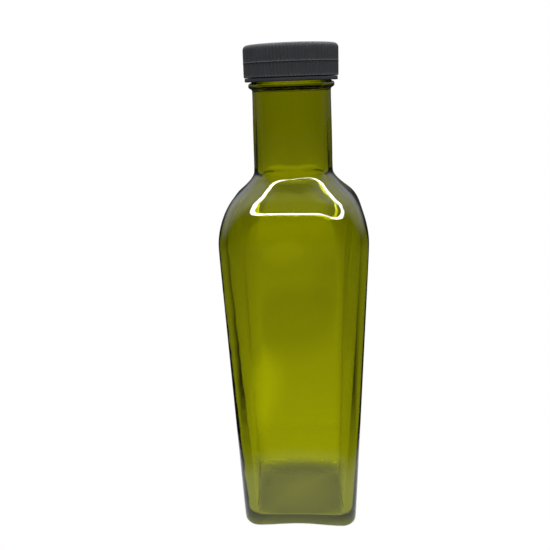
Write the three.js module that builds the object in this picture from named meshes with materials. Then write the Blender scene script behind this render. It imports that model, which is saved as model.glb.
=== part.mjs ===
// A tapered square oil bottle of green glass, with a ribbed screw cap and the tamper band under it.
// Millimetres, +Z up. The origin is on the table under the middle of the base, and the front faces -Y.

import * as THREE from 'three';
import { mergeVertices } from 'three/addons/utils/BufferGeometryUtils.js';

// Body: a square with rounded corners in plan, widening from the base up to the shoulder.
const BASE_HALF = 22.75;
const BASE_CORNER_R = 5.1;
const SHOULDER_HALF = 27.4;
const SHOULDER_CORNER_R = 10;
const SHOULDER_Z = 118;

// Shoulder: an ellipse in profile that turns into a cone, with a fillet at the root of the round neck.
const SHOULDER_REACH = 10.35;
const SHOULDER_RISE = 19;
const SHOULDER_TURN = THREE.MathUtils.degToRad(66);
const NECK_FILLET_RISE = 2.7;

// Neck, the bead that stops the tamper band, and the plain finish inside the cap.
const NECK_ROOT_R = 14.7;
const NECK_TOP_R = 14.3;
const BEAD_R = 15.7;
const BEAD_BOTTOM_Z = 173;
const BEAD_TOP_Z = 175.1;
const BEAD_EDGE = 0.5;
const FINISH_R = 14.2;
const LIP_EDGE = 1;

// Glass thickness.
const BODY_WALL = 2.8;
const NECK_WALL = 2.7;
const FLOOR_Z = 6;
const FLOOR_EDGE_R = 5;

// Base: it stands on its four corners, the sides arch up between them and the middle is pushed up.
const HEEL_R = 3.5;
const BEARING_WIDTH = 2.5;
const PUSH_UP = 2.5;
const PUSH_UP_FULLNESS = 0.7;
const SIDE_ARCH = 1.2;
const SIDE_ARCH_FADE_Z = 6;
const FOOT_START = 0.72;

// Cap and tamper band.
const TOTAL_HEIGHT = 188;
const CAP_R = 17.25;
const CAP_BOTTOM_Z = 177.1;
const CAP_EDGE_R = 1.8;
const CAP_WALL = 2.1;
const CAP_PLATE = 1.8;
const CAP_HEM = 0.5;
const LEDGE_Z = 181.9;
const LEDGE_HALF_HEIGHT = 0.25;
const LEDGE_PROUD = 0.15;
const RIB_COUNT = 84;
const RIB_DEPTH = 0.35;
const BAND_R = 16.9;
const BAND_WALL = 2.2;
const BAND_EDGE = 0.3;
const SEAM_GAP = 0.3;

// Fineness of the faceted surfaces. Each side of the body has a few columns of points along its
// flat, close together on the round neck, and the rest share out the turn of its two half corners.
const SIDES = 4;
const SIDE_COLUMNS = 12;
const FLAT_COLUMNS = 4;
const FLAT_COLUMN_TURN = 1.5;
const CORNER_FIRST_TURN = 5;
const CORNER_COLUMN_TURN = 11.5;
const BAND_SEGMENTS = 48;
const CURVE_STEPS = 4;
const CAP_EDGE_STEPS = 2;
const WALL_STEPS = 4;
const WELD = 1e-4;

const MOUTH_Z = TOTAL_HEIGHT - CAP_PLATE - SEAM_GAP;

// How square the plan is at a height: 0 is a circle, 1 a sharp square.
function squareness(z) {
  const atBase = 1 - BASE_CORNER_R / BASE_HALF;
  const atShoulder = 1 - SHOULDER_CORNER_R / SHOULDER_HALF;
  if (z < SHOULDER_Z) {
    return THREE.MathUtils.lerp(atBase, atShoulder, z / SHOULDER_Z);
  }
  const climb = Math.min((z - SHOULDER_Z) / SHOULDER_RISE, 1);
  return atShoulder * Math.sqrt(1 - climb * climb);
}

// How far a point of the base rises, so that only the feet at the corners touch the table.
function archLift(x, y, z) {
  const [near, far] = [Math.abs(x), Math.abs(y)].sort((first, second) => first - second);
  const along = near / Math.max(far, WELD) / FOOT_START;
  const arch = Math.max(1 - along * along, 0);
  const fade = Math.max(1 - z / SIDE_ARCH_FADE_Z, 0);
  const reach = Math.min(far / BASE_HALF, 1);
  return SIDE_ARCH * arch * fade * reach * reach;
}

// One column of the body: where it stands on a unit circle and on the unit square round it.
function bodyColumn(index) {
  const side = Math.floor(index / SIDE_COLUMNS) % SIDES;
  const place = (index % SIDE_COLUMNS) - (SIDE_COLUMNS - 1) / 2;
  const flatEdge = (FLAT_COLUMNS - 1) / 2;
  const beyond = Math.abs(place) - flatEdge - 1;
  const onFlat = beyond < 0;
  const cornerTurn = CORNER_FIRST_TURN + beyond * CORNER_COLUMN_TURN;
  const turn = onFlat ? place * FLAT_COLUMN_TURN : Math.sign(place) * cornerTurn;
  const along = onFlat ? place / (flatEdge + 1) : Math.sign(place);
  const middle = new THREE.Vector2();
  const sideTurn = (side / SIDES) * 2 * Math.PI;
  const circle = new THREE.Vector2(1, 0).rotateAround(middle, THREE.MathUtils.degToRad(turn) + sideTurn);
  const square = new THREE.Vector2(1, along).rotateAround(middle, sideTurn);
  return { circle, square };
}

// Turns a lathe's round plan into the bottle's rounded square and arches its base.
function squareOff(geometry, profile) {
  const position = geometry.attributes.position;
  for (let i = 0; i < position.count; i += 1) {
    const { x: radius, y: z } = profile[i % profile.length];
    const { circle, square } = bodyColumn(Math.floor(i / profile.length));
    const plan = circle.lerp(square, squareness(z)).multiplyScalar(radius);
    position.setXYZ(i, plan.x, plan.y, z + archLift(plan.x, plan.y, z));
  }
}

// Cuts the grip of the cap: every other column of its fluted heights lies deeper.
function cutRibs(geometry, heights) {
  const position = geometry.attributes.position;
  for (let i = 0; i < position.count; i += 1) {
    const column = Math.floor(i / heights.length);
    if (column % 2 === 1 && heights[i % heights.length].fluted) {
      const x = position.getX(i);
      const y = position.getY(i);
      const shrink = 1 - RIB_DEPTH / Math.hypot(x, y);
      position.setXY(i, x * shrink, y * shrink);
    }
  }
}

// Revolves a profile about +Z.
function revolve(profile, segments) {
  const geometry = new THREE.LatheGeometry(profile, segments);
  geometry.rotateX(Math.PI / 2);
  return geometry;
}

// Welds a surface into one closed body.
function weld(geometry) {
  geometry.deleteAttribute('normal');
  geometry.deleteAttribute('uv');
  const welded = mergeVertices(geometry, WELD);
  welded.computeVertexNormals();
  return welded;
}

// Straight wall up to a height, in even steps.
function climbTo(path, radius, z) {
  const from = path.currentPoint.clone();
  const to = new THREE.Vector2(radius, z);
  for (let step = 1; step <= WALL_STEPS; step += 1) {
    const point = from.clone().lerp(to, step / WALL_STEPS);
    path.lineTo(point.x, point.y);
  }
}

// Body wall, shoulder and neck root of one skin of the glass, followed upwards.
function climbSkin(path, shoulderHalf, neckRootR) {
  climbTo(path, shoulderHalf, SHOULDER_Z);
  const centreR = shoulderHalf - SHOULDER_REACH;
  path.absellipse(centreR, SHOULDER_Z, SHOULDER_REACH, SHOULDER_RISE, 0, SHOULDER_TURN);
  const from = path.currentPoint.clone();
  const slope = SHOULDER_RISE / (SHOULDER_REACH * Math.tan(SHOULDER_TURN));
  const meetZ = from.y + (from.x - neckRootR) * slope;
  path.quadraticCurveTo(neckRootR, meetZ, neckRootR, meetZ + NECK_FILLET_RISE);
}

// Outer skin, from the middle of the push-up to the top of the mouth.
function outerSkin() {
  const heelR = BASE_HALF - HEEL_R;
  const bearingR = heelR - BEARING_WIDTH;
  const heelTopHalf = THREE.MathUtils.lerp(BASE_HALF, SHOULDER_HALF, HEEL_R / SHOULDER_Z);
  const path = new THREE.Path();
  path.moveTo(0, PUSH_UP);
  path.quadraticCurveTo(bearingR * PUSH_UP_FULLNESS, PUSH_UP, bearingR, 0);
  path.lineTo(heelR, 0);
  path.quadraticCurveTo(BASE_HALF, 0, heelTopHalf, HEEL_R);
  climbSkin(path, SHOULDER_HALF, NECK_ROOT_R);
  path.lineTo(NECK_TOP_R, BEAD_BOTTOM_Z - BEAD_EDGE);
  path.lineTo(BEAD_R - BEAD_EDGE, BEAD_BOTTOM_Z);
  path.lineTo(BEAD_R, BEAD_BOTTOM_Z + BEAD_EDGE);
  path.lineTo(BEAD_R, BEAD_TOP_Z - BEAD_EDGE);
  path.lineTo(BEAD_R - BEAD_EDGE, BEAD_TOP_Z);
  path.lineTo(FINISH_R, BEAD_TOP_Z);
  path.lineTo(FINISH_R, MOUTH_Z - LIP_EDGE);
  path.lineTo(FINISH_R - LIP_EDGE, MOUTH_Z);
  return path.getPoints(CURVE_STEPS);
}

// Inner skin, from the middle of the floor up to the mouth.
function innerSkin() {
  const floorHalf = BASE_HALF - BODY_WALL;
  const boreR = NECK_TOP_R - NECK_WALL;
  const path = new THREE.Path();
  path.moveTo(0, FLOOR_Z);
  path.lineTo(floorHalf - FLOOR_EDGE_R, FLOOR_Z);
  path.quadraticCurveTo(floorHalf, FLOOR_Z, floorHalf, FLOOR_Z + FLOOR_EDGE_R);
  climbSkin(path, SHOULDER_HALF - BODY_WALL, NECK_ROOT_R - NECK_WALL);
  path.lineTo(boreR, BEAD_BOTTOM_Z);
  path.lineTo(boreR, MOUTH_Z);
  return path.getPoints(CURVE_STEPS);
}

function bottleGeometry() {
  const profile = [...outerSkin(), ...innerSkin().reverse()];
  const geometry = revolve(profile, SIDES * SIDE_COLUMNS);
  squareOff(geometry, profile);
  return weld(geometry);
}

// Cap profile from the underside of its plate, down the bore, up the outside and in over the top.
function capHeights() {
  const boreR = CAP_R - CAP_WALL;
  const gripR = CAP_R - LEDGE_PROUD;
  const plateZ = TOTAL_HEIGHT - CAP_PLATE;
  const shoulderZ = TOTAL_HEIGHT - CAP_EDGE_R;
  const round = new THREE.Path();
  round.absarc(gripR - CAP_EDGE_R, shoulderZ, CAP_EDGE_R, 0, Math.PI / 2);
  const plain = (x, y) => ({ point: new THREE.Vector2(x, y), fluted: false });
  const fluted = (x, y) => ({ point: new THREE.Vector2(x, y), fluted: true });
  return [
    plain(0, plateZ),
    plain(boreR, plateZ),
    plain(boreR, CAP_BOTTOM_Z),
    plain(gripR - RIB_DEPTH, CAP_BOTTOM_Z),
    fluted(gripR, CAP_BOTTOM_Z + CAP_HEM),
    fluted(gripR, LEDGE_Z - LEDGE_HALF_HEIGHT),
    plain(CAP_R, LEDGE_Z),
    fluted(gripR, LEDGE_Z + LEDGE_HALF_HEIGHT),
    fluted(gripR, shoulderZ),
    ...round.getPoints(CAP_EDGE_STEPS).slice(1).map((point) => plain(point.x, point.y)),
    plain(0, TOTAL_HEIGHT),
  ];
}

function capGeometry() {
  const heights = capHeights();
  const profile = heights.map((height) => height.point);
  const geometry = revolve(profile, 2 * RIB_COUNT);
  cutRibs(geometry, heights);
  return weld(geometry);
}

// Plain ring with eased outer edges, between the cap's skirt and the bead.
function tamperBandGeometry() {
  const innerR = BAND_R - BAND_WALL;
  const bottomZ = BEAD_TOP_Z + SEAM_GAP;
  const topZ = CAP_BOTTOM_Z - SEAM_GAP;
  const path = new THREE.Path();
  path.moveTo(innerR, bottomZ);
  path.lineTo(BAND_R - BAND_EDGE, bottomZ);
  path.lineTo(BAND_R, bottomZ + BAND_EDGE);
  path.lineTo(BAND_R, topZ - BAND_EDGE);
  path.lineTo(BAND_R - BAND_EDGE, topZ);
  path.lineTo(innerR, topZ);
  path.closePath();
  return weld(revolve(path.getPoints(), BAND_SEGMENTS));
}

function piece(name, geometry, finish) {
  const mesh = new THREE.Mesh(geometry, new THREE.MeshStandardMaterial(finish));
  mesh.name = name;
  return mesh;
}

const greenGlass = { color: 0x83880f, roughness: 0.05, metalness: 0, transparent: true, opacity: 0.5 };
const blackPlastic = { color: 0x2c2d31, roughness: 0.45, metalness: 0 };

const oilBottle = new THREE.Group();
oilBottle.add(piece('bottle', bottleGeometry(), greenGlass));
oilBottle.add(piece('cap', capGeometry(), blackPlastic));
oilBottle.add(piece('tamper_band', tamperBandGeometry(), blackPlastic));

export default oilBottle;
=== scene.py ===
"""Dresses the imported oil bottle: green glass, a ribbed screw cap and a tamper band, in a pale studio."""

import logging
import math
from dataclasses import dataclass
from enum import Enum
from typing import ClassVar, Iterable, Sequence

import bmesh
import bpy
from mathutils import Matrix, Vector


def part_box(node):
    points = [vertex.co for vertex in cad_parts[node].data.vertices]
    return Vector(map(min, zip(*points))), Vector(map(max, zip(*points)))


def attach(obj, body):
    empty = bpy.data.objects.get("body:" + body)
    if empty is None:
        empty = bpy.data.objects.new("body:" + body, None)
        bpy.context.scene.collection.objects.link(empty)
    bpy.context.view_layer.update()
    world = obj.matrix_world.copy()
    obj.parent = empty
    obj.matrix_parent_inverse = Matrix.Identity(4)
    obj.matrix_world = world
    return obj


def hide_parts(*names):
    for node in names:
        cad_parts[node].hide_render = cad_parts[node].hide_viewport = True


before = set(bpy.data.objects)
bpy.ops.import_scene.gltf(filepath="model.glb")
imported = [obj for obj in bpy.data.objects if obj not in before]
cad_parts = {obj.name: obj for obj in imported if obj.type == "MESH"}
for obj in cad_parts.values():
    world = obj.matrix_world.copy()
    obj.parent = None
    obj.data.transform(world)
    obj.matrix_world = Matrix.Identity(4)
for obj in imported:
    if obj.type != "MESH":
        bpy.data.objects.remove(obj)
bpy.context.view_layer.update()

LOG = logging.getLogger("oil_bottle")
BODY = "root"
MM = 0.001
PHOTO_SIDE_PX = 550
SENSOR_MM = 36.0
MERGE_GAP = 0.0001 * MM
LONG_EDGE_SHARE = 0.9
INSIDE_SHARE = 0.999
QUAD_CORNERS = 4


class Face(Enum):
    """Which pair of opposite sides of the square body a group of points lies on."""

    SIDES_X = (1, 0)
    SIDES_Y = (0, 1)


class Corner(Enum):
    """The four rounded corners of the square body, by the signs of x and y."""

    RIGHT_BACK = (1, 1)
    LEFT_BACK = (-1, 1)
    LEFT_FRONT = (-1, -1)
    RIGHT_FRONT = (1, -1)


@dataclass(frozen=True)
class Ring:
    """One level outline of the glass: a square with rounded corners, or a circle.

    Attributes:
        half: Half the width across the flats, or the radius of a circle.
        corner: Radius of the corners. It equals half on a circle.
        height: Height above the table.
    """

    half: float
    corner: float
    height: float

    @property
    def flat(self) -> float:
        """Half the length of the straight part of a side."""
        return self.half - self.corner

    @property
    def is_round(self) -> bool:
        """Whether the outline is a circle."""
        return self.flat <= 0.0


@dataclass(frozen=True)
class GripRing:
    """One level outline of a ribbed round piece.

    Attributes:
        ridge: Radius at the crest of the ribs.
        depth: How much deeper the grooves lie.
        height: Height above the table.
    """

    ridge: float
    depth: float
    height: float


def start_clean() -> None:
    """Leaves edit mode and deselects everything, so that an operator meets only what it is meant for."""
    if bpy.context.object is not None and bpy.context.object.mode != "OBJECT":
        bpy.ops.object.mode_set(mode="OBJECT")
    bpy.ops.object.select_all(action="DESELECT")


def curve_between(start: Vector, bend: Vector, end: Vector, steps: int) -> list[Vector]:
    """Points of a quadratic curve after its start.

    Args:
        start: First point, which isn't repeated in the result.
        bend: The point that the curve leans towards.
        end: Last point.
        steps: How many points to return.

    Returns:
        The points in order, the last one at the end.
    """
    points = []
    for step in range(1, steps + 1):
        t = step / steps
        points.append(start * (1 - t) ** 2 + bend * (2 * t * (1 - t)) + end * t**2)
    return points


class RingDrawer:
    """Draws a mesh ring by ring in edit mode, by extruding an outline and shaping each new one."""

    def __init__(self) -> None:
        """Takes over the object that is in edit mode, whose one outline is its first ring."""
        self.mesh: bpy.types.Mesh = bpy.context.edit_object.data
        bpy.ops.mesh.select_mode(type="VERT")
        bpy.ops.mesh.select_all(action="SELECT")
        self.ring: list[int] = [vert.index for vert in self._verts()]
        self.lit: list[int] = list(self.ring)

    def _verts(self) -> Sequence[bmesh.types.BMVert]:
        """Makes the mesh's points ready to be taken by number.

        Returns:
            The points of the mesh in edit mode.
        """
        points = bmesh.from_edit_mesh(self.mesh).verts
        points.ensure_lookup_table()
        return points

    def pick(self, indices: Iterable[int]) -> None:
        """Selects these points alone.

        Args:
            indices: Numbers of the points.
        """
        mesh = bmesh.from_edit_mesh(self.mesh)
        mesh.verts.ensure_lookup_table()
        for index in self.lit:
            mesh.verts[index].select_set(False)
        self.lit = list(indices)
        for index in self.lit:
            mesh.verts[index].select_set(True)
        mesh.select_flush_mode()
        bmesh.update_edit_mesh(self.mesh, loop_triangles=False, destructive=False)

    def extrude(self, rise: float) -> None:
        """Extrudes the last ring straight up or down and makes the copy the last ring.

        Args:
            rise: Distance in Z.
        """
        self.pick(self.ring)
        bpy.ops.mesh.extrude_edges_move(TRANSFORM_OT_translate={"value": (0, 0, rise)})
        points = self._verts()
        below = {index: place for place, index in enumerate(self.ring)}
        above = [0] * len(self.ring)
        self.lit = []
        for vert in points:
            if not vert.select:
                continue
            self.lit.append(vert.index)
            for edge in vert.link_edges:
                source = edge.other_vert(vert).index
                if source in below:
                    above[below[source]] = vert.index
        self.ring = above

    def scale(self, x: float, y: float) -> None:
        """Scales what is picked about the bottle's axis.

        Args:
            x: Factor along X.
            y: Factor along Y.
        """
        bpy.ops.transform.resize(value=(x, y, 1), center_override=(0, 0, 0))

    def shift(self, x: float, y: float) -> None:
        """Moves what is picked level.

        Args:
            x: Distance along X.
            y: Distance along Y.
        """
        bpy.ops.transform.translate(value=(x, y, 0))


class SquareDrawer(RingDrawer):
    """A ring drawer for outlines that are square with rounded corners lower down and round in the neck."""

    def __init__(self, first: Ring, corner_steps: int, flat_cuts: int) -> None:
        """Adds a plane at the first ring, rounds its corners and divides its sides.

        Args:
            first: The first outline, which isn't round.
            corner_steps: Steps in each corner.
            flat_cuts: Points added along each straight side.
        """
        start_clean()
        bpy.ops.mesh.primitive_plane_add(size=2 * first.half, location=(0, 0, first.height))
        bpy.ops.object.transform_apply(location=True, rotation=False, scale=False)
        bpy.ops.object.mode_set(mode="EDIT")
        bpy.ops.mesh.select_all(action="SELECT")
        bpy.ops.mesh.bevel(affect="VERTICES", offset=first.corner, segments=corner_steps)
        self._divide_sides(flat_cuts)
        super().__init__()
        self.outline = first
        self.lift = 0.0
        self.half_cuts = (flat_cuts + 1) / 2
        self.corners: dict[Corner, list[int]] = {corner: [] for corner in Corner}
        self.sides: dict[Face, list[int]] = {face: [] for face in Face}
        self.steps_off_middle: dict[int, list[int]] = {}
        self._sort_places()

    def _divide_sides(self, flat_cuts: int) -> None:
        """Adds points along the four straight edges of the first outline.

        Args:
            flat_cuts: Points added along each edge.
        """
        bpy.ops.mesh.select_all(action="DESELECT")
        bpy.ops.mesh.select_mode(type="EDGE")
        mesh = bmesh.from_edit_mesh(bpy.context.edit_object.data)
        longest = max(edge.calc_length() for edge in mesh.edges)
        for edge in mesh.edges:
            edge.select_set(edge.calc_length() > LONG_EDGE_SHARE * longest)
        bmesh.update_edit_mesh(bpy.context.edit_object.data)
        bpy.ops.mesh.subdivide(number_cuts=flat_cuts)

    def _sort_places(self) -> None:
        """Notes for each place of the ring whether it is on a corner or how far along a side."""
        points = self._verts()
        inside = self.outline.flat * INSIDE_SHARE
        for place, index in enumerate(self.ring):
            x, y, _ = points[index].co
            if min(abs(x), abs(y)) < inside:
                face = Face.SIDES_X if abs(y) < inside else Face.SIDES_Y
                self.sides[face].append(place)
                steps = round(min(abs(x), abs(y)) / self.outline.flat * self.half_cuts)
                self.steps_off_middle.setdefault(steps, []).append(place)
            else:
                signs = (int(math.copysign(1, x)), int(math.copysign(1, y)))
                self.corners[Corner(signs)].append(place)

    def _pick_places(self, places: Iterable[int]) -> None:
        """Selects points of the last ring by their places round it."""
        self.pick(self.ring[place] for place in places)

    def draw(self, outline: Ring, least_flat: float) -> None:
        """Extrudes to a new outline.

        Args:
            outline: The outline to reach.
            least_flat: Shortest half side that the points of a round outline are spread from.
        """
        last = self.outline
        self.extrude(outline.height - last.height)
        if last.is_round:
            self.pick(self.ring)
            self.scale(outline.half / last.half, outline.half / last.half)
        else:
            spread = outline
            if outline.flat < least_flat:
                spread = Ring(outline.half, outline.half - least_flat, outline.height)
            self._reshape(last, spread)
            if outline.is_round:
                self._make_round(outline.half)
        self.outline = outline if outline.is_round or last.is_round else spread

    def arch(self, lift: float) -> None:
        """Raises the middles of the last ring's four sides.

        Args:
            lift: How far a middle stands above the ring's own height.
        """
        change = lift - self.lift
        self.lift = lift
        if change == 0:
            return
        for steps, places in self.steps_off_middle.items():
            bell = math.cos(math.pi / 2 * min(steps / self.half_cuts, 1.0)) ** 2
            self._pick_places(places)
            bpy.ops.transform.translate(value=(0, 0, change * bell))

    def _reshape(self, last: Ring, outline: Ring) -> None:
        """Changes the size and the corner radius of the last ring.

        Args:
            last: The outline that the ring still has.
            outline: The outline to give it.
        """
        grow = outline.corner / last.corner
        step = outline.flat - last.flat * grow
        for corner, places in self.corners.items():
            self._pick_places(places)
            self.scale(grow, grow)
            self.shift(corner.value[0] * step, corner.value[1] * step)
        out = outline.half / last.half
        along = outline.flat / last.flat
        for face, places in self.sides.items():
            self._pick_places(places)
            self.scale(out if face is Face.SIDES_X else along, along if face is Face.SIDES_X else out)

    def _make_round(self, radius: float) -> None:
        """Turns the last ring into a circle.

        Args:
            radius: Radius of the circle.
        """
        self.pick(self.ring)
        bpy.ops.transform.tosphere(value=1.0)
        reached = self._verts()[self.ring[0]].co.xy.length
        self.scale(radius / reached, radius / reached)


class GripDrawer(RingDrawer):
    """A ring drawer for round pieces, whose grooves lie between ribs."""

    def __init__(self, first: GripRing, ribs: int, rib_steps: int) -> None:
        """Adds the first circle.

        Args:
            first: The first outline.
            ribs: Ribs all round.
            rib_steps: Points for each rib and its groove.
        """
        start_clean()
        bpy.ops.mesh.primitive_circle_add(
            vertices=ribs * rib_steps, radius=first.ridge, location=(0, 0, first.height)
        )
        bpy.ops.object.transform_apply(location=True, rotation=False, scale=False)
        bpy.ops.object.mode_set(mode="EDIT")
        super().__init__()
        self.outline = first
        self.rib_steps = rib_steps
        self.first_ring = list(self.ring)

    def draw(self, outline: GripRing) -> None:
        """Extrudes to a new outline and sinks its grooves.

        Args:
            outline: The outline to reach.
        """
        last = self.outline
        self.extrude(outline.height - last.height)
        ridges = [i for place, i in enumerate(self.ring) if place % self.rib_steps < self.rib_steps / 2]
        grooves = [i for place, i in enumerate(self.ring) if place % self.rib_steps >= self.rib_steps / 2]
        self.pick(ridges)
        grow = outline.ridge / last.ridge
        self.scale(grow, grow)
        self.pick(grooves)
        sink = (outline.ridge - outline.depth) / (last.ridge - last.depth)
        self.scale(sink, sink)
        self.outline = outline


def finish_mesh(name: str, smooth_levels: int) -> bpy.types.Object:
    """Ends edit mode, smooths the piece by subdivision, closes its flat ends and names it.

    Args:
        name: Name of the piece and of its mesh.
        smooth_levels: Subdivision levels, applied to the mesh.

    Returns:
        The finished object, at the origin.
    """
    bpy.ops.mesh.select_all(action="SELECT")
    bpy.ops.mesh.remove_doubles(threshold=MERGE_GAP)
    bpy.ops.mesh.normals_make_consistent(inside=False)
    bpy.ops.object.mode_set(mode="OBJECT")
    piece = bpy.context.object
    piece.name = name
    piece.data.name = name
    smoother = piece.modifiers.new("smooth", "SUBSURF")
    smoother.levels = smooth_levels
    smoother.render_levels = smooth_levels
    bpy.ops.object.modifier_apply(modifier=smoother.name)
    bpy.ops.object.mode_set(mode="EDIT")
    bpy.ops.mesh.select_all(action="SELECT")
    bpy.ops.mesh.fill_holes(sides=0)
    bpy.ops.mesh.select_all(action="SELECT")
    bpy.ops.mesh.normals_make_consistent(inside=False)
    bpy.ops.object.mode_set(mode="OBJECT")
    bpy.ops.object.shade_smooth()
    return piece


def add_node(tree: bpy.types.NodeTree, kind: str, **inputs: object) -> bpy.types.Node:
    """Adds a shader node and sets its plain inputs.

    Args:
        tree: The node tree of a material or of the world.
        kind: The node's type name.
        **inputs: Values by input name, with underscores for spaces.

    Returns:
        The new node.
    """
    node = tree.nodes.new(kind)
    for name, value in inputs.items():
        node.inputs[name.replace("_", " ")].default_value = value
    return node


def calc(
    tree: bpy.types.NodeTree,
    operation: str,
    first: bpy.types.NodeSocket | float,
    second: bpy.types.NodeSocket | float = 0.0,
) -> bpy.types.NodeSocket:
    """Adds a math node to a node tree.

    Args:
        tree: The node tree.
        operation: The math node's operation.
        first: First value or socket.
        second: Second value or socket, where the operation has one.

    Returns:
        The result's socket.
    """
    node = add_node(tree, "ShaderNodeMath")
    node.operation = operation
    for place, term in enumerate((first, second)):
        if isinstance(term, bpy.types.NodeSocket):
            tree.links.new(term, node.inputs[place])
        else:
            node.inputs[place].default_value = term
    return node.outputs[0]


def ramp(
    tree: bpy.types.NodeTree,
    value: bpy.types.NodeSocket,
    span: tuple[float, float],
    result: tuple[float, float],
) -> bpy.types.NodeSocket:
    """Adds a soft ramp to a node tree.

    Args:
        tree: The node tree.
        value: What the ramp follows.
        span: Where the ramp starts and ends.
        result: What it gives before the start and after the end.

    Returns:
        The result's socket.
    """
    node = add_node(tree, "ShaderNodeMapRange")
    node.interpolation_type = "SMOOTHSTEP"
    for name, number in zip(("From Min", "From Max", "To Min", "To Max"), (*span, *result)):
        node.inputs[name].default_value = number
    tree.links.new(value, node.inputs["Value"])
    return node.outputs["Result"]


def new_material(name: str) -> tuple[bpy.types.Material, bpy.types.NodeTree, bpy.types.Node]:
    """Makes an empty node material with an output.

    Args:
        name: Name of the material.

    Returns:
        The material, its node tree and its output node.
    """
    material = bpy.data.materials.new(name)
    material.use_nodes = True
    tree = material.node_tree
    tree.nodes.clear()
    return material, tree, tree.nodes.new("ShaderNodeOutputMaterial")


@dataclass(frozen=True)
class GreenGlass:
    """Olive green bottle glass, with the faint unevenness of a blown wall.

    Attributes:
        name: Name of the material.
        refraction: Index of refraction.
        loss_per_m: What the glass takes from red, green and blue light in each metre.
        wave_size: Size of the waves in the surface.
        wave_stretch: How much closer the waves lie round the bottle than up its height.
        wave_depth: Height of the waves.
        wave_detail: How many sizes of finer waves are added.
        wave_fineness: How strong the finer waves are.
        ripple_size: Size of the ripples along the left corners.
        ripple_span: How far from the middles of the sides the ripples start and are full.
        ripple_gain: Height of the ripples, in wave depths.
        stipple: Roughness of the underside, which is stippled where the bottle stands.
        stipple_span: Heights between which the stipple ends.
        stipple_tilt: How level a face is where the stipple starts and where it is full.
    """

    name: str = "olive_green_glass"
    refraction: float = 1.52
    loss_per_m: tuple[float, float, float] = (150.0, 141.0, 1400.0)
    wave_size: float = 0.006
    wave_stretch: float = 0.16
    wave_depth: float = 0.00008
    wave_detail: float = 1.0
    wave_fineness: float = 0.4
    ripple_size: float = 0.005
    ripple_span: tuple[float, float] = (13 * MM, 20 * MM)
    ripple_gain: float = 1.3
    stipple: float = 1.0
    stipple_span: tuple[float, float] = (2.6 * MM, 3.4 * MM)
    stipple_tilt: tuple[float, float] = (0.5, 0.85)

    def material(self) -> bpy.types.Material:
        """Builds the node material.

        Returns:
            The glass material.
        """
        material, tree, output = new_material(self.name)
        density = max(self.loss_per_m)
        kept = [1 - loss / density for loss in self.loss_per_m]
        surface = add_node(
            tree,
            "ShaderNodeBsdfPrincipled",
            Base_Color=(1, 1, 1, 1),
            IOR=self.refraction,
            Transmission_Weight=1.0,
        )
        inside = add_node(tree, "ShaderNodeVolumeAbsorption", Color=(*kept, 1), Density=density)
        place = add_node(tree, "ShaderNodeTexCoord").outputs["Object"]
        parts = add_node(tree, "ShaderNodeSeparateXYZ")
        tree.links.new(place, parts.inputs["Vector"])
        relief = add_node(tree, "ShaderNodeBump", Strength=1.0, Distance=self.wave_depth)
        tree.links.new(self.uneven_height(tree, place, parts), relief.inputs["Height"])
        tree.links.new(relief.outputs["Normal"], surface.inputs["Normal"])
        tree.links.new(self.stippled(tree, parts), surface.inputs["Roughness"])
        tree.links.new(surface.outputs["BSDF"], output.inputs["Surface"])
        tree.links.new(inside.outputs["Volume"], output.inputs["Volume"])
        return material

    def uneven_height(
        self, tree: bpy.types.NodeTree, place: bpy.types.NodeSocket, parts: bpy.types.Node
    ) -> bpy.types.NodeSocket:
        """Builds the waves of the glass, with ripples along the bottle's two left corners.

        Args:
            tree: The glass's node tree.
            place: Point of the glass.
            parts: The node that gives the point's X, Y and Z.

        Returns:
            The height of the surface, in wave depths.
        """
        drawn_out = add_node(tree, "ShaderNodeMapping", Scale=(1, 1, self.wave_stretch))
        tree.links.new(place, drawn_out.inputs["Vector"])
        waves = add_node(
            tree,
            "ShaderNodeTexNoise",
            Scale=1 / self.wave_size,
            Detail=self.wave_detail,
            Roughness=self.wave_fineness,
        )
        tree.links.new(drawn_out.outputs["Vector"], waves.inputs["Vector"])
        leftward = calc(tree, "MULTIPLY", parts.outputs["X"], -1.0)
        sideways = calc(tree, "ABSOLUTE", parts.outputs["Y"])
        in_corner = calc(tree, "MINIMUM", leftward, sideways)
        corner = ramp(tree, in_corner, self.ripple_span, (0.0, self.ripple_gain))
        ripples = add_node(tree, "ShaderNodeTexNoise", Scale=1 / self.ripple_size, Detail=0.0)
        tree.links.new(place, ripples.inputs["Vector"])
        rippled = calc(tree, "MULTIPLY", ripples.outputs["Fac"], corner)
        return calc(tree, "ADD", waves.outputs["Fac"], rippled)

    def stippled(self, tree: bpy.types.NodeTree, parts: bpy.types.Node) -> bpy.types.NodeSocket:
        """Builds the roughness of the glass: none but on the level faces of the underside.

        Args:
            tree: The glass's node tree.
            parts: The node that gives the point's X, Y and Z.

        Returns:
            The roughness.
        """
        low = ramp(tree, parts.outputs["Z"], self.stipple_span, (self.stipple, 0.0))
        facing = add_node(tree, "ShaderNodeSeparateXYZ")
        normal = add_node(tree, "ShaderNodeNewGeometry").outputs["Normal"]
        tree.links.new(normal, facing.inputs["Vector"])
        level = calc(tree, "ABSOLUTE", facing.outputs["Z"])
        return calc(tree, "MULTIPLY", low, ramp(tree, level, self.stipple_tilt, (0.0, 1.0)))


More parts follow.
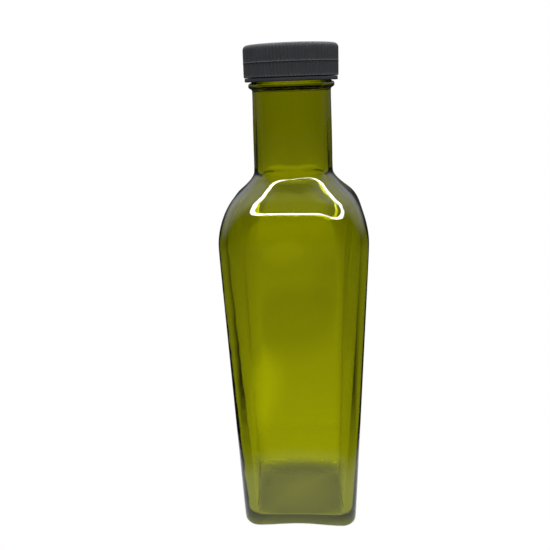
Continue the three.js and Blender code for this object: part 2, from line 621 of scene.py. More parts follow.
@dataclass(frozen=True)
class BlackPlastic:
    """Satin black moulded plastic with a fine grain and a trace of dust.

    Attributes:
        name: Name of the material.
        dark: Colour of clean plastic.
        dusty: Colour where it is scuffed and dusty.
        roughness: Least and greatest roughness.
        refraction: Index of refraction.
        shine: How much the surface reflects.
        dust_per_m: How many patches of dust fit in a metre.
        dust_detail: How many sizes of finer patches are added.
        dust_fineness: How strong the finer patches are.
        grain_size: Size of the moulded grain.
        grain_depth: Depth of the grain.
        grain_detail: How many sizes of finer grain are added.
    """

    name: str
    dark: tuple[float, float, float] = (0.026, 0.028, 0.032)
    dusty: tuple[float, float, float] = (0.042, 0.045, 0.051)
    roughness: tuple[float, float] = (0.52, 0.66)
    refraction: float = 1.49
    shine: float = 0.3
    dust_per_m: float = 260.0
    dust_detail: float = 4.0
    dust_fineness: float = 0.6
    grain_size: float = 0.0004
    grain_depth: float = 0.00001
    grain_detail: float = 2.0

    def material(self) -> bpy.types.Material:
        """Builds the node material.

        Returns:
            The plastic material.
        """
        material, tree, output = new_material(self.name)
        surface = add_node(
            tree, "ShaderNodeBsdfPrincipled", IOR=self.refraction, Specular_IOR_Level=self.shine
        )
        place = add_node(tree, "ShaderNodeTexCoord").outputs["Object"]
        dust = add_node(
            tree,
            "ShaderNodeTexNoise",
            Scale=self.dust_per_m,
            Detail=self.dust_detail,
            Roughness=self.dust_fineness,
        )
        tint = add_node(tree, "ShaderNodeMix")
        tint.data_type = "RGBA"
        tint.inputs["A"].default_value = (*self.dark, 1)
        tint.inputs["B"].default_value = (*self.dusty, 1)
        satin = add_node(tree, "ShaderNodeMapRange", To_Min=self.roughness[0], To_Max=self.roughness[1])
        grain = add_node(tree, "ShaderNodeTexNoise", Scale=1 / self.grain_size, Detail=self.grain_detail)
        relief = add_node(tree, "ShaderNodeBump", Strength=1.0, Distance=self.grain_depth)
        tree.links.new(place, dust.inputs["Vector"])
        tree.links.new(place, grain.inputs["Vector"])
        tree.links.new(dust.outputs["Fac"], tint.inputs["Factor"])
        tree.links.new(dust.outputs["Fac"], satin.inputs["Value"])
        tree.links.new(tint.outputs["Result"], surface.inputs["Base Color"])
        tree.links.new(satin.outputs["Result"], surface.inputs["Roughness"])
        tree.links.new(grain.outputs["Fac"], relief.inputs["Height"])
        tree.links.new(relief.outputs["Normal"], surface.inputs["Normal"])
        tree.links.new(surface.outputs["BSDF"], output.inputs["Surface"])
        return material


class Piece:
    """A finished piece of the bottle, tied to the node that it stands for."""

    node: ClassVar[str]
    slot: ClassVar[str]

    def dress(self, piece: bpy.types.Object, material: bpy.types.Material) -> None:
        """Dresses a piece and ties it to the frame.

        Args:
            piece: The finished mesh object.
            material: Its finish.
        """
        piece.data.materials.clear()
        piece.data.materials.append(material)
        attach(piece, BODY)
        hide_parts(self.node)


@dataclass
class GlassBottle(Piece):
    """The glass: a tapered square body, rounded shoulders, a round neck with a bead, and a thick base.

    Attributes:
        base_half: Half the width of the base.
        base_corner: Radius of the body's corners at the base.
        shoulder_half: Half the width where the shoulder starts.
        shoulder_corner: Radius of the body's corners there.
        shoulder_z: Height where the shoulder starts.
        shoulder_reach: Level half axis of the shoulder's curve.
        shoulder_rise: Upright half axis of the shoulder's curve.
        shoulder_turn: How far round its curve the shoulder goes.
        round_rise: Height over which the square plan turns round.
        inner_drop: How much lower the shoulder starts on the inside.
        fillet_rise: Height of the hollow curve at the root of the neck.
        neck_root_r: Radius at the root of the neck.
        neck_straight_z: Height where the outside of the neck starts to taper.
        neck_top_r: Radius of the neck under the bead.
        bead_r: Radius of the bead.
        bead_bottom_z: Height of the bead's lower side.
        bead_top_z: Height of the bead's upper side.
        finish_r: Radius of the neck inside the cap.
        bore_straight_z: Height where the bore has its own radius.
        round_edge: Size of the rounded edges of the bead and the mouth.
        body_wall: Thickness of the body's wall.
        neck_wall: Thickness of the neck's wall.
        floor_z: Height of the floor inside.
        floor_edge: Size of the curve between the floor and the wall.
        heel: Size of the curve between the base and the wall.
        bearing: Width of the ring that the bottle stands on.
        push_up: Height of the hollow under the base.
        push_up_fullness: How far out the hollow stays high, as a share of its radius.
        side_arch: How far the base is raised between the corners.
        arch_fade: Height where the arch has faded.
        arch_inset: How much faster than its radius the arch fades under the base.
        pole_half: Half width of the small squares in the middle of the base and the floor.
        least_flat: Shortest half side that the points of a round outline are spread from.
        corner_steps: Steps in each corner.
        flat_cuts: Points added along each straight side.
        wall_steps: Outlines up the wall.
        shoulder_steps: Outlines up the shoulder.
        curve_steps: Outlines in each smaller curve.
        smooth_levels: Subdivision levels.
    """

    node = "bottle"
    slot = "bottle_glass"

    base_half: float = 22.75 * MM
    base_corner: float = 5.1 * MM
    shoulder_half: float = 27.4 * MM
    shoulder_corner: float = 10.0 * MM
    shoulder_z: float = 118.0 * MM
    shoulder_reach: float = 10.35 * MM
    shoulder_rise: float = 19.0 * MM
    shoulder_turn: float = math.radians(66)
    round_rise: float = 25.0 * MM
    inner_drop: float = 1.3 * MM
    fillet_rise: float = 2.7 * MM
    neck_root_r: float = 14.7 * MM
    neck_straight_z: float = 155.0 * MM
    neck_top_r: float = 14.3 * MM
    bead_r: float = 15.7 * MM
    bead_bottom_z: float = 173.0 * MM
    bead_top_z: float = 175.1 * MM
    finish_r: float = 14.2 * MM
    bore_straight_z: float = 165.0 * MM
    round_edge: float = 0.4 * MM
    body_wall: float = 2.8 * MM
    neck_wall: float = 2.7 * MM
    floor_z: float = 4.8 * MM
    floor_edge: float = 2.6 * MM
    heel: float = 3.5 * MM
    bearing: float = 2.5 * MM
    push_up: float = 2.5 * MM
    push_up_fullness: float = 0.7
    side_arch: float = 1.2 * MM
    arch_fade: float = 6.0 * MM
    arch_inset: float = 1.6
    pole_half: float = 1.5 * MM
    least_flat: float = 1.2 * MM
    corner_steps: int = 9
    flat_cuts: int = 7
    wall_steps: int = 9
    shoulder_steps: int = 8
    curve_steps: int = 5
    smooth_levels: int = 2

    def squareness(self, height: float) -> float:
        """Works out how square the plan is at a height.

        Args:
            height: Height above the table.

        Returns:
            From 0 for a circle to 1 for a sharp square.
        """
        at_base = 1 - self.base_corner / self.base_half
        at_shoulder = 1 - self.shoulder_corner / self.shoulder_half
        if height < self.shoulder_z:
            return at_base + (at_shoulder - at_base) * height / self.shoulder_z
        climb = min((height - self.shoulder_z) / self.round_rise, 1.0)
        return at_shoulder * (1 - climb * climb)

    def ring(self, point: Vector) -> Ring:
        """Gives the outline at a point of the profile, which is its half width and its height."""
        half, height = point
        return Ring(half, half * (1 - self.squareness(height)), height)

    def skin_above(self, start: Vector, top: Vector, neck_r: float) -> list[Vector]:
        """Profile of one skin over the body wall, the shoulder and the root of the neck.

        Args:
            start: Where the wall starts, above the heel.
            top: Where the wall ends and the shoulder starts.
            neck_r: Radius of this skin at the root of the neck.

        Returns:
            The points after the start.
        """
        points = [start.lerp(top, step / self.wall_steps) for step in range(1, self.wall_steps + 1)]
        for step in range(1, self.shoulder_steps + 1):
            turn = self.shoulder_turn * step / self.shoulder_steps
            across = top.x - self.shoulder_reach * (1 - math.cos(turn))
            points.append(Vector((across, top.y + self.shoulder_rise * math.sin(turn))))
        cone = points[-1]
        slope = self.shoulder_rise / (self.shoulder_reach * math.tan(self.shoulder_turn))
        meet = Vector((neck_r, cone.y + (cone.x - neck_r) * slope))
        end = meet + Vector((0, self.fillet_rise))
        return points + curve_between(cone, meet, end, self.curve_steps)

    def outer_profile(self, mouth_z: float) -> list[Vector]:
        """Draws up the outside.

        Args:
            mouth_z: Height of the mouth.

        Returns:
            Its profile, from the middle of the push-up to the mouth.
        """
        heel_r = self.base_half - self.heel
        bearing_r = heel_r - self.bearing
        lean = (self.shoulder_half - self.base_half) / self.shoulder_z
        middle = Vector((self.pole_half, self.push_up))
        rise = Vector((bearing_r * self.push_up_fullness, self.push_up))
        stand = Vector((heel_r, 0))
        wall = Vector((self.base_half + lean * self.heel, self.heel))
        points = [middle, *curve_between(middle, rise, Vector((bearing_r, 0)), self.curve_steps), stand]
        points += curve_between(stand, Vector((self.base_half, 0)), wall, self.curve_steps)
        top = Vector((self.shoulder_half, self.shoulder_z))
        points += self.skin_above(wall, top, self.neck_root_r)
        edge = self.round_edge
        for across, height in (
            (self.neck_root_r, self.neck_straight_z),
            (self.neck_top_r, self.bead_bottom_z - 3 * edge),
            (self.neck_top_r + 0.2 * edge, self.bead_bottom_z - edge),
            (self.bead_r - 2 * edge, self.bead_bottom_z),
            (self.bead_r - 0.4 * edge, self.bead_bottom_z + 0.6 * edge),
            (self.bead_r, self.bead_bottom_z + 2 * edge),
            (self.bead_r, self.bead_top_z - 2 * edge),
            (self.bead_r - 0.4 * edge, self.bead_top_z - 0.6 * edge),
            (self.bead_r - 2 * edge, self.bead_top_z),
            (self.finish_r + edge, self.bead_top_z + 0.2 * edge),
            (self.finish_r, self.bead_top_z + 2 * edge),
            (self.finish_r, mouth_z - 3 * edge),
            (self.finish_r - 0.6 * edge, mouth_z - edge),
            (self.finish_r - 2 * edge, mouth_z),
        ):
            points.append(Vector((across, height)))
        return points

    def inner_profile(self, mouth_z: float) -> list[Vector]:
        """Draws up the inside.

        Args:
            mouth_z: Height of the mouth.

        Returns:
            Its profile, from the middle of the floor to the mouth.
        """
        floor_half = self.base_half - self.body_wall
        bore_r = self.neck_top_r - self.neck_wall
        middle = Vector((self.pole_half, self.floor_z))
        turn_in = Vector((floor_half - self.floor_edge, self.floor_z))
        wall = Vector((floor_half, self.floor_z + self.floor_edge))
        points = [middle, middle.lerp(turn_in, 0.5), turn_in]
        points += curve_between(turn_in, Vector((floor_half, self.floor_z)), wall, self.curve_steps)
        top = Vector((self.shoulder_half - self.body_wall, self.shoulder_z - self.inner_drop))
        points += self.skin_above(wall, top, self.neck_root_r - self.neck_wall)
        edge = self.round_edge
        for across, height in (
            (bore_r, self.bore_straight_z),
            (bore_r, mouth_z - 3 * edge),
            (bore_r + 0.4 * edge, mouth_z - edge),
            (bore_r + 1.4 * edge, mouth_z - 0.3 * edge),
        ):
            points.append(Vector((across, height)))
        return points

    def arch_share(self, outline: Ring) -> float:
        """Works out how much of the base's arch an outline takes.

        Args:
            outline: An outline of the outside.

        Returns:
            The share, which is 1 where the bottle stands and 0 in the middle and higher up.
        """
        inward = (self.base_half - self.heel - outline.half) / (self.base_half - self.heel)
        upward = outline.height / self.arch_fade
        return max(0.0, 1 - max(inward, 0.0) * self.arch_inset) * max(0.0, 1 - upward)

    def draw_skin(self, profile: list[Vector], name: str, arch: float) -> bpy.types.Object:
        """Draws one skin of the glass.

        Args:
            profile: Its profile, from the axis to the mouth.
            name: Name of the object.
            arch: How far the sides of its base are raised between the corners.

        Returns:
            The skin, open at the mouth.
        """
        rings = [self.ring(point) for point in profile]
        drawer = SquareDrawer(rings[0], self.corner_steps, self.flat_cuts)
        for outline in rings[1:]:
            drawer.draw(outline, self.least_flat)
            drawer.arch(arch * self.arch_share(outline))
        bpy.ops.mesh.select_all(action="DESELECT")
        bpy.ops.object.mode_set(mode="OBJECT")
        skin = bpy.context.object
        skin.name = name
        return skin

    def build(self) -> bpy.types.Object:
        """Draws both skins, joins them at the mouth and smooths the glass.

        Returns:
            The finished bottle.
        """
        mouth_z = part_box(self.node)[1].z
        outside = self.draw_skin(self.outer_profile(mouth_z), "outer_skin", self.side_arch)
        inside = self.draw_skin(self.inner_profile(mouth_z), "inner_skin", 0.0)
        start_clean()
        inside.select_set(True)
        outside.select_set(True)
        bpy.context.view_layer.objects.active = outside
        bpy.ops.object.join()
        bpy.ops.object.mode_set(mode="EDIT")
        bpy.ops.mesh.select_mode(type="EDGE")
        bpy.ops.mesh.select_all(action="DESELECT")
        bpy.ops.mesh.select_non_manifold(
            extend=False, use_wire=False, use_multi_face=False, use_non_contiguous=False, use_verts=False
        )
        bpy.ops.mesh.bridge_edge_loops()
        self.poke_middles()
        return finish_mesh("glass_bottle", self.smooth_levels)

    def poke_middles(self) -> None:
        """Divides the small faces in the middle of the base and of the floor into fans."""
        bpy.ops.mesh.select_mode(type="FACE")
        bpy.ops.mesh.select_all(action="DESELECT")
        mesh = bmesh.from_edit_mesh(bpy.context.edit_object.data)
        for face in mesh.faces:
            face.select_set(len(face.verts) > QUAD_CORNERS)
        bmesh.update_edit_mesh(bpy.context.edit_object.data)
        bpy.ops.mesh.poke()


@dataclass
class ScrewCap(Piece):
    """The black screw cap: a flat top with a round edge, a ribbed skirt with a ledge, and a plain bore.

    Attributes:
        radius: Radius at the ledge.
        ledge_proud: How far the ledge stands out from the ribs.
        rib_depth: Depth of the grooves between the ribs.
        edge: Radius of the top's edge.
        top_inset: How far in the flat top's first outline lies, in edge radii.
        wall: Thickness of the skirt.
        plate: Thickness of the top.
        hem: Height of the plain hem under the ribs.
        seam: Gap over the tamper band.
        ledge_z: Height of the middle of the ledge.
        ledge_half: Half the height of the ledge.
        ease: Size of the small roundings.
        ribs: Ribs all round.
        rib_steps: Points for each rib and its groove.
        edge_steps: Steps in the top's edge.
        smooth_levels: Subdivision levels.
    """

    node = "cap"
    slot = "cap_plastic"

    radius: float = 17.25 * MM
    ledge_proud: float = 0.06 * MM
    rib_depth: float = 0.28 * MM
    edge: float = 1.6 * MM
    top_inset: float = 2.2
    wall: float = 2.1 * MM
    plate: float = 1.8 * MM
    hem: float = 0.45 * MM
    seam: float = 0.06 * MM
    ledge_z: float = 181.9 * MM
    ledge_half: float = 0.3 * MM
    ease: float = 0.12 * MM
    ribs: int = 84
    rib_steps: int = 4
    edge_steps: int = 4
    smooth_levels: int = 1

    def rings(self) -> list[GripRing]:
        """Draws up the cap's section.

        Returns:
            The outlines from the top of the cap, down the outside, and up the bore to the plate.
        """
        bottom_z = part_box(TamperBand.node)[1].z + self.seam
        top_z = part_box(self.node)[1].z
        grip_r = self.radius - self.ledge_proud
        bore_r = self.radius - self.wall
        ease = self.ease
        rings = [GripRing(grip_r - self.top_inset * self.edge, 0, top_z)]
        for step in range(self.edge_steps + 1):
            turn = math.pi / 2 * (1 - step / self.edge_steps)
            across = grip_r - self.edge * (1 - math.cos(turn))
            height = top_z - self.edge * (1 - math.sin(turn))
            rings.append(GripRing(across, self.rib_depth * (1 - math.sin(turn)), height))
        for across, depth, height in (
            (grip_r, 1.0, top_z - self.edge - 3 * ease),
            (grip_r, 1.0, self.ledge_z + self.ledge_half + 2 * ease),
            (grip_r, 1.0, self.ledge_z + self.ledge_half),
            (self.radius - 0.3 * ease, 0.2, self.ledge_z + 0.4 * self.ledge_half),
            (self.radius, 0.0, self.ledge_z),
            (self.radius - 0.3 * ease, 0.2, self.ledge_z - 0.4 * self.ledge_half),
            (grip_r, 1.0, self.ledge_z - self.ledge_half),
            (grip_r, 1.0, self.ledge_z - self.ledge_half - 2 * ease),
            (grip_r, 1.0, bottom_z + self.hem + 3 * ease),
            (grip_r, 0.9, bottom_z + self.hem + ease),
            (self.radius - ease, 0.0, bottom_z + self.hem),
            (self.radius - 0.5 * ease, 0.0, bottom_z + 2 * ease),
            (self.radius - 1.5 * ease, 0.0, bottom_z + 0.4 * ease),
            (self.radius - 4 * ease, 0.0, bottom_z),
            (bore_r + 4 * ease, 0.0, bottom_z),
            (bore_r + ease, 0.0, bottom_z + ease),
            (bore_r, 0.0, bottom_z + 4 * ease),
            (bore_r, 0.0, top_z - self.plate - 3 * ease),
            (bore_r - 0.5 * ease, 0.0, top_z - self.plate - 0.5 * ease),
            (bore_r - 3 * ease, 0.0, top_z - self.plate),
        ):
            rings.append(GripRing(across, depth * self.rib_depth, height))
        return rings

    def build(self) -> bpy.types.Object:
        """Draws the cap and closes its plate.

        Returns:
            The finished cap.
        """
        first, *others = self.rings()
        drawer = GripDrawer(first, self.ribs, self.rib_steps)
        for outline in others:
            drawer.draw(outline)
        return finish_mesh("screw_cap", self.smooth_levels)


@dataclass
class TamperBand(Piece):
    """The ring of the tamper seal that stays on the neck under the cap.

    Attributes:
        radius: Outer radius.
        wall: Thickness of the ring.
        edge: Size of its rounded edges.
        columns: Points all round.
        smooth_levels: Subdivision levels.
    """

    node = "tamper_band"
    slot = "band_plastic"

    radius: float = 16.9 * MM
    wall: float = 2.2 * MM
    edge: float = 0.3 * MM
    columns: int = 96
    smooth_levels: int = 1

    def rings(self) -> list[GripRing]:
        """Draws up the band's section.

        Returns:
            The outlines from the inner lower edge, round the outside to the inner upper edge.
        """
        low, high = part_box(self.node)
        inner = self.radius - self.wall
        bottom_z, top_z = low.z, high.z
        section = (
            (inner, bottom_z + self.edge),
            (inner + 0.3 * self.edge, bottom_z),
            (self.radius - self.edge, bottom_z),
            (self.radius - 0.2 * self.edge, bottom_z + 0.3 * self.edge),
            (self.radius, bottom_z + self.edge),
            (self.radius, top_z - self.edge),
            (self.radius - 0.2 * self.edge, top_z - 0.3 * self.edge),
            (self.radius - self.edge, top_z),
            (inner + 0.3 * self.edge, top_z),
            (inner, top_z - self.edge),
        )
        return [GripRing(across, 0.0, height) for across, height in section]

    def build(self) -> bpy.types.Object:
        """Draws the band and closes its inside.

        Returns:
            The finished band.
        """
        first, *others = self.rings()
        drawer = GripDrawer(first, ribs=self.columns, rib_steps=1)
        for outline in others:
            drawer.draw(outline)
        drawer.pick(drawer.first_ring + drawer.ring)
        bpy.ops.mesh.bridge_edge_loops()
        return finish_mesh("tamper_ring", self.smooth_levels)


@dataclass(frozen=True)
class PaintedLightPatch:
    """A soft painted patch of light (share above one) or of shadow (share below one) on the floor, seen
    only through the glass.

    Attributes:
        middle: Its middle on the floor.
        reach: Its half sizes.
        share: How much light it gives for its surroundings' one.
        fade: Where it starts to fade and where it ends, in half sizes.
    """

    middle: tuple[float, float]
    reach: tuple[float, float]
    share: float
    fade: tuple[float, float] = (0.45, 1.15)

    def light(self, tree: bpy.types.NodeTree, place: bpy.types.NodeSocket) -> bpy.types.NodeSocket:
        """Builds the patch's share of light.

        Args:
            tree: The floor's node tree.
            place: Point of the floor.

        Returns:
            The share, which is one outside the patch.
        """
        offset = add_node(tree, "ShaderNodeVectorMath")
        offset.operation = "SUBTRACT"
        offset.inputs[1].default_value = (*self.middle, 0)
        tree.links.new(place, offset.inputs[0])
        fitted = add_node(tree, "ShaderNodeVectorMath")
        fitted.operation = "DIVIDE"
        fitted.inputs[1].default_value = (*self.reach, 1)
        tree.links.new(offset.outputs["Vector"], fitted.inputs[0])
        away = add_node(tree, "ShaderNodeVectorMath")
        away.operation = "LENGTH"
        tree.links.new(fitted.outputs["Vector"], away.inputs[0])
        return ramp(tree, away.outputs["Value"], self.fade, (self.share, 1.0))


@dataclass
class Studio:
    """A pale floor, soft light all round and the camera of the photograph.

    Attributes:
        eye_distance: Level distance of the camera from the bottle's axis.
        eye_height: Height of the camera.
        eye_turn: How far round the bottle the camera stands.
        pitch: How far the camera looks down.
        heading: How far it looks to the right.
        roll: How far it is tilted.
        focal_px: Focal length in pixels of the photograph.
        clip: Nearest and farthest distance that the camera sees.
        floor_half: Half the width of the floor.
        far_through: Light of the far floor, seen through the glass.
        near_through: What the near floor adds to it, a painted pool of light round the bottle.
        through_reach: Distance over which that addition halves.
        under_share: How much of the light is left under the bottle, where the bottle's shadow is painted
            on the floor.
        under_reach: How far out that is so.
        under_fade: Distance over which it ends.
        close_span: Where the close floor, which never dims, starts to fade and ends.
        patches: Soft painted patches of light and shadow on the floor.
        sheet_reach: How far the floor is light in reflections.
        sheet_fade: Distance over which that ends.
        sheet_light: Light of the near floor in reflections.
        floor_dark: Light of the far floor in reflections.
        room_dark: Light of the room before the bottle, in reflections.
        room_bright: Light of the room behind it, in reflections.
        behind_span: Between which parts of the room the light rises.
        raised_span: Between which heights of the room the light rises.
        raised_share: Share of the light below and above those heights.
        ceiling_light: What the ceiling adds.
        ceiling_span: Between which heights of the room it does so.
        room_soft: Light of the room on the plastic.
        turned_span: How far back a turned ray ends where it starts to give light and gives it all.
        turned_share: How much light it gives there.
        straight_walls: Between how many surfaces passed a ray counts as straight.
        lamp_height: Height of the ring lamp.
        lamp_middle: Its middle.
        lamp_radius: Its half sizes.
        lamp_width: Width of the ring.
        lamp_glow: How bright it is.
        lamp_sides: Points all round it.
    """

    eye_distance: float = 241.4 * MM
    eye_height: float = 175.5 * MM
    eye_turn: float = math.radians(2.42)
    pitch: float = math.radians(16.94)
    heading: float = math.radians(-4.414)
    roll: float = math.radians(-2.064)
    focal_px: float = 635.45
    clip: tuple[float, float] = (0.005, 50.0)
    floor_half: float = 3.0
    far_through: float = 0.25
    near_through: float = 0.68
    through_reach: float = 0.22
    under_share: float = 0.29
    under_reach: float = 0.016
    under_fade: float = 0.013
    close_span: tuple[float, float] = (0.045, 0.16)
    patches: tuple[PaintedLightPatch, ...] = (
        PaintedLightPatch((-0.036, 0.105), (0.024, 0.064), 1.32),
        PaintedLightPatch((-0.012, 0.225), (0.046, 0.088), 0.83),
        PaintedLightPatch((0.027, 0.310), (0.030, 0.100), 0.88),
        PaintedLightPatch((-0.030, 0.430), (0.032, 0.075), 1.15),
        PaintedLightPatch((-0.050, 0.760), (0.160, 0.340), 1.35),
    )
    sheet_reach: float = 0.055
    sheet_fade: float = 0.025
    sheet_light: float = 0.95
    floor_dark: float = 0.03
    room_dark: float = 0.004
    room_bright: float = 1.0
    behind_span: tuple[float, float] = (-0.2, 0.4)
    raised_span: tuple[float, float] = (0.0, 0.35)
    raised_share: tuple[float, float] = (0.08, 1.0)
    ceiling_light: float = 0.15
    ceiling_span: tuple[float, float] = (0.7, 0.85)
    room_soft: float = 0.30
    turned_span: tuple[float, float] = (-0.15, 0.55)
    turned_share: tuple[float, float] = (0.0, 1.0)
    straight_walls: tuple[float, float] = (2.5, 3.5)
    lamp_height: float = 0.6
    lamp_middle: tuple[float, float] = (0.07, -0.12)
    lamp_radius: tuple[float, float] = (0.31, 0.40)
    lamp_width: float = 0.060
    lamp_glow: float = 26.0
    lamp_sides: int = 128

    def place_camera(self) -> None:
        """Sets up the camera of the photograph."""
        camera = bpy.data.cameras.new("photo_camera")
        camera.sensor_width = SENSOR_MM
        camera.lens = self.focal_px / PHOTO_SIDE_PX * SENSOR_MM
        camera.clip_start, camera.clip_end = self.clip
        level = Vector((math.cos(self.heading), -math.sin(self.heading), 0))
        ahead = Vector((math.sin(self.heading), math.cos(self.heading), 0))
        down = Vector((0, 0, -1))
        forward = ahead * math.cos(self.pitch) + down * math.sin(self.pitch)
        upright = ahead * math.sin(self.pitch) - down * math.cos(self.pitch)
        right = level * math.cos(self.roll) + upright * math.sin(self.roll)
        up = upright * math.cos(self.roll) - level * math.sin(self.roll)
        eye = Vector(
            (
                self.eye_distance * math.sin(self.eye_turn),
                -self.eye_distance * math.cos(self.eye_turn),
                self.eye_height,
            )
        )
        holder = bpy.data.objects.new("photo_camera", camera)
        bpy.context.scene.collection.objects.link(holder)
        turn = Matrix((right, up, -forward)).transposed().to_4x4()
        holder.matrix_world = Matrix.Translation(eye) @ turn
        bpy.context.scene.camera = holder

    def lay_floor(self) -> None:
        """Lays the pale floor: it glows evenly white to the eye, is light near the bottle and dark farther
        off in reflections, and carries painted light and shadow through the glass.
        """
        start_clean()
        bpy.ops.mesh.primitive_plane_add(size=2 * self.floor_half, location=(0, 0, 0))
        floor = bpy.context.object
        floor.name = "floor"
        material, tree, output = new_material("pale_floor")
        place = add_node(tree, "ShaderNodeNewGeometry").outputs["Position"]
        away = add_node(tree, "ShaderNodeVectorMath")
        away.operation = "LENGTH"
        tree.links.new(place, away.inputs[0])
        sheet_end = self.sheet_reach + self.sheet_fade
        sheet = ramp(
            tree, away.outputs["Value"], (self.sheet_reach, sheet_end), (self.sheet_light, self.floor_dark)
        )
        through = self.through_floor(tree, place, away.outputs["Value"])
        glow = self.sorted_glow(tree, sheet, through)
        tree.links.new(glow, output.inputs["Surface"])
        floor.data.materials.append(material)

    def straight_share(
        self, tree: bpy.types.NodeTree, backward: bpy.types.NodeSocket
    ) -> bpy.types.NodeSocket:
        """Gives full light to what is seen straight through both walls, less to what a wall turns forward.

        Args:
            tree: Node tree of the floor or of the room.
            backward: How far behind the bottle the ray ends, from -1 to 1.

        Returns:
            The share of light.
        """
        walls = add_node(tree, "ShaderNodeLightPath").outputs["Transmission Depth"]
        turned = ramp(tree, backward, self.turned_span, self.turned_share)
        straight = ramp(tree, walls, self.straight_walls, (0.0, 1.0))
        return calc(tree, "MAXIMUM", turned, straight)

    def through_floor(
        self, tree: bpy.types.NodeTree, place: bpy.types.NodeSocket, away: bpy.types.NodeSocket
    ) -> bpy.types.NodeSocket:
        """Builds the floor's light through the glass: a painted pool of light that dims far off, a painted
        shadow under the bottle, and painted patches of light and shadow.

        Args:
            tree: The floor's node tree.
            place: Point of the floor.
            away: Its distance from the bottle's axis.

        Returns:
            The brightness.
        """
        # Painted pool of light: the floor is brighter near the bottle and dims farther off.
        spread = calc(tree, "ADD", calc(tree, "DIVIDE", away, self.through_reach), 1.0)
        lift = calc(tree, "DIVIDE", self.near_through, spread)
        level = calc(tree, "ADD", lift, self.far_through)
        # Painted shadow of the bottle: the floor's light drops to under_share beneath it.
        under_end = self.under_reach + self.under_fade
        under = ramp(tree, away, (self.under_reach, under_end), (self.under_share, 1.0))
        close = ramp(tree, away, self.close_span, (1.0, 0.0))
        parts = add_node(tree, "ShaderNodeSeparateXYZ")
        tree.links.new(place, parts.inputs["Vector"])
        backward = calc(tree, "DIVIDE", parts.outputs["Y"], away)
        straight = calc(tree, "MAXIMUM", self.straight_share(tree, backward), close)
        light = calc(tree, "MULTIPLY", calc(tree, "MULTIPLY", level, under), straight)
        # Painted patches of light and shadow, multiplied into the floor's light through the glass.
        for patch in self.patches:
            light = calc(tree, "MULTIPLY", light, patch.light(tree, place))
        return light

    def sorted_glow(
        self, tree: bpy.types.NodeTree, reflected: bpy.types.NodeSocket, through: bpy.types.NodeSocket
    ) -> bpy.types.NodeSocket:
        """Builds a white glow, full to the eye, with a light of its own in reflections and through glass.

        Args:
            tree: Node tree of the floor or of the room.
            reflected: How bright it is in a reflection.
            through: How bright it is through the glass.

        Returns:
            The shader socket of the glow.
        """
        ray = add_node(tree, "ShaderNodeLightPath")
        by_way = add_node(tree, "ShaderNodeMix")
        by_eye = add_node(tree, "ShaderNodeMix", B=1.0)
        glow = add_node(tree, "ShaderNodeEmission", Strength=1.0)
        tree.links.new(ray.outputs["Is Transmission Ray"], by_way.inputs["Factor"])
        tree.links.new(reflected, by_way.inputs["A"])
        tree.links.new(through, by_way.inputs["B"])
        tree.links.new(ray.outputs["Is Camera Ray"], by_eye.inputs["Factor"])
        tree.links.new(by_way.outputs["Result"], by_eye.inputs["A"])
        tree.links.new(by_eye.outputs["Result"], glow.inputs["Strength"])
        return glow.outputs["Emission"]

    def light_room(self) -> None:
        """Sets the room: white to the eye, pale behind the bottle and dim before it in reflections."""
        world = bpy.data.worlds.new("soft_room")
        bpy.context.scene.world = world
        world.use_nodes = True
        tree = world.node_tree
        tree.nodes.clear()
        output = tree.nodes.new("ShaderNodeOutputWorld")
        ray = add_node(tree, "ShaderNodeLightPath")
        way = add_node(tree, "ShaderNodeTexCoord")
        parts = add_node(tree, "ShaderNodeSeparateXYZ")
        tree.links.new(way.outputs["Generated"], parts.inputs["Vector"])
        behind = ramp(tree, parts.outputs["Y"], self.behind_span, (self.room_dark, self.room_bright))
        raised = ramp(tree, parts.outputs["Z"], self.raised_span, self.raised_share)
        ceiling = ramp(tree, parts.outputs["Z"], self.ceiling_span, (0.0, self.ceiling_light))
        mirrored = calc(tree, "ADD", calc(tree, "MULTIPLY", behind, raised), ceiling)
        dim = add_node(tree, "ShaderNodeMix", B=self.room_soft)
        tree.links.new(ray.outputs["Is Diffuse Ray"], dim.inputs["Factor"])
        tree.links.new(mirrored, dim.inputs["A"])
        at_edge = self.far_through + self.near_through / (1 + self.floor_half / self.through_reach)
        far = calc(tree, "MULTIPLY", self.straight_share(tree, parts.outputs["Y"]), at_edge)
        glow = self.sorted_glow(tree, dim.outputs["Result"], far)
        tree.links.new(glow, output.inputs["Surface"])

    def hang_lamp(self) -> None:
        """Hangs a ring lamp overhead, whose reflection runs round the shoulder."""
        start_clean()
        middle = (*self.lamp_middle, self.lamp_height)
        inner_x, inner_y = (radius - self.lamp_width / 2 for radius in self.lamp_radius)
        outer_x, outer_y = (radius + self.lamp_width / 2 for radius in self.lamp_radius)
        bpy.ops.mesh.primitive_circle_add(vertices=self.lamp_sides, radius=1, location=middle)
        lamp = bpy.context.object
        lamp.name = "ring_lamp"
        bpy.ops.object.mode_set(mode="EDIT")
        bpy.ops.mesh.select_all(action="SELECT")
        bpy.ops.transform.resize(value=(inner_x, inner_y, 1), center_override=middle)
        bpy.ops.mesh.extrude_edges_move(TRANSFORM_OT_translate={"value": (0, 0, 0)})
        grow = (outer_x / inner_x, outer_y / inner_y, 1)
        bpy.ops.transform.resize(value=grow, center_override=middle)
        bpy.ops.object.mode_set(mode="OBJECT")
        material, tree, output = new_material("ring_lamp_glow")
        glow = add_node(tree, "ShaderNodeEmission", Strength=self.lamp_glow)
        tree.links.new(glow.outputs["Emission"], output.inputs["Surface"])
        lamp.data.materials.append(material)

    def set_picture(self) -> None:
        """Sets how the picture shows light."""
        bpy.context.scene.view_settings.view_transform = "Standard"
        bpy.context.scene.view_settings.look = "None"
        bpy.context.scene.cycles.use_denoising = True

    def build(self) -> None:
        """Builds the whole studio."""
        self.place_camera()
        self.lay_floor()
        self.light_room()
        self.hang_lamp()
        self.set_picture()


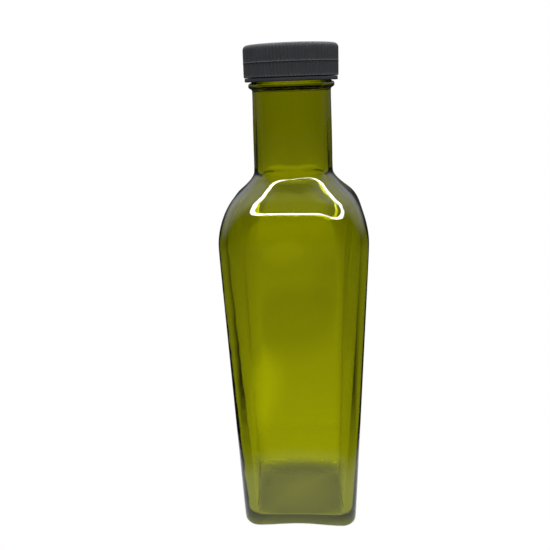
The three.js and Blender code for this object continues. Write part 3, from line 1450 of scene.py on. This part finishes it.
def main() -> None:
    """Builds the studio and the pieces of the bottle in order, and reports each piece."""
    logging.basicConfig(level=logging.INFO, format="%(name)s: %(message)s")
    Studio().build()
    for maker, finish in (
        (GlassBottle(), GreenGlass()),
        (ScrewCap(), BlackPlastic("cap_black_plastic")),
        (TamperBand(), BlackPlastic("band_black_plastic")),
    ):
        piece = maker.build()
        maker.dress(piece, finish.material())
        LOG.info("%s: %d faces, %s", piece.name, len(piece.data.polygons), finish.name)


if __name__ == "__main__":
    main()
